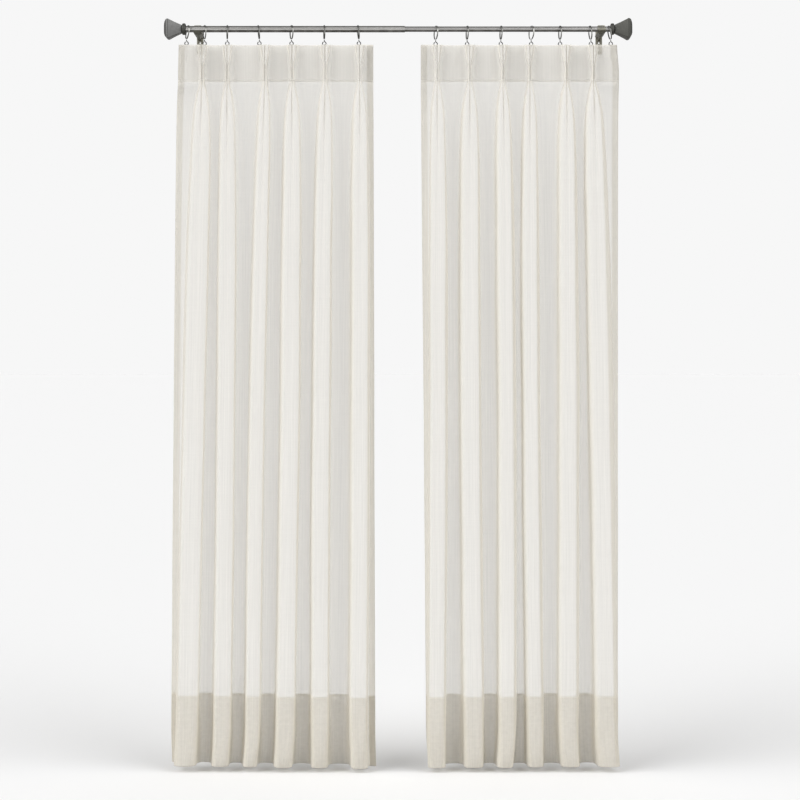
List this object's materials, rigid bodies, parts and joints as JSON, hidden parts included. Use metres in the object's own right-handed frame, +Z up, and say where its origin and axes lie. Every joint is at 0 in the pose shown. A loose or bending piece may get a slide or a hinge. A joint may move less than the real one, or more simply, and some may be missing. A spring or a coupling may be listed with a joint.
{
  "type": "sheer voile curtain pair on a curtain rod",
  "caption": "Sheer pinch-pleated voile panels with deep hems, hooked to rings on a telescoping metal rod with square finials and wall brackets.",
  "frame": {"origin": "on the wall plane, midway between the two brackets, level with the rod's axis", "axes": "+X to the right along the rod, +Y into the wall, +Z up"},
  "size_m": [1.3882, 0.14, 2.2139],
  "materials": {
    "voile": "sheer ivory voile, plain weave",
    "heading_voile": "doubled ivory voile over a stiffener",
    "rod_pewter": "satin pewter",
    "finial_pewter": "dark satin pewter",
    "bracket_metal": "olive grey satin metal",
    "ring_wire": "satin pewter wire",
    "hook_wire": "bright drawn wire"
  },
  "bodies": {
    "root": {"rod_outer": "rod_pewter", "rod_inner": "rod_pewter", "finial_left": "finial_pewter", "finial_collar_left": "finial_pewter", "wall_plate_left": "bracket_metal", "bracket_arm_left": "bracket_metal", "finial_right": "finial_pewter", "finial_collar_right": "finial_pewter", "wall_plate_right": "bracket_metal", "bracket_arm_right": "bracket_metal", "ring_01": "ring_wire", "eyelet_01": "ring_wire", "hook_01": "hook_wire", "ring_02": "ring_wire", "eyelet_02": "ring_wire", "hook_02": "hook_wire", "ring_03": "ring_wire", "eyelet_03": "ring_wire", "hook_03": "hook_wire", "ring_04": "ring_wire", "eyelet_04": "ring_wire", "hook_04": "hook_wire", "ring_05": "ring_wire", "eyelet_05": "ring_wire", "hook_05": "hook_wire", "ring_06": "ring_wire", "eyelet_06": "ring_wire", "hook_06": "hook_wire", "ring_07": "ring_wire", "eyelet_07": "ring_wire", "hook_07": "hook_wire", "ring_08": "ring_wire", "eyelet_08": "ring_wire", "hook_08": "hook_wire", "ring_09": "ring_wire", "eyelet_09": "ring_wire", "hook_09": "hook_wire", "ring_10": "ring_wire", "eyelet_10": "ring_wire", "hook_10": "hook_wire", "ring_11": "ring_wire", "eyelet_11": "ring_wire", "hook_11": "hook_wire", "ring_12": "ring_wire", "eyelet_12": "ring_wire", "hook_12": "hook_wire", "ring_13": "ring_wire", "eyelet_13": "ring_wire", "hook_13": "hook_wire", "ring_14": "ring_wire", "eyelet_14": "ring_wire", "hook_14": "hook_wire", "heading_left": "heading_voile", "panel_left": "voile", "heading_right": "heading_voile", "panel_right": "voile"}
  },
  "joints": []
}
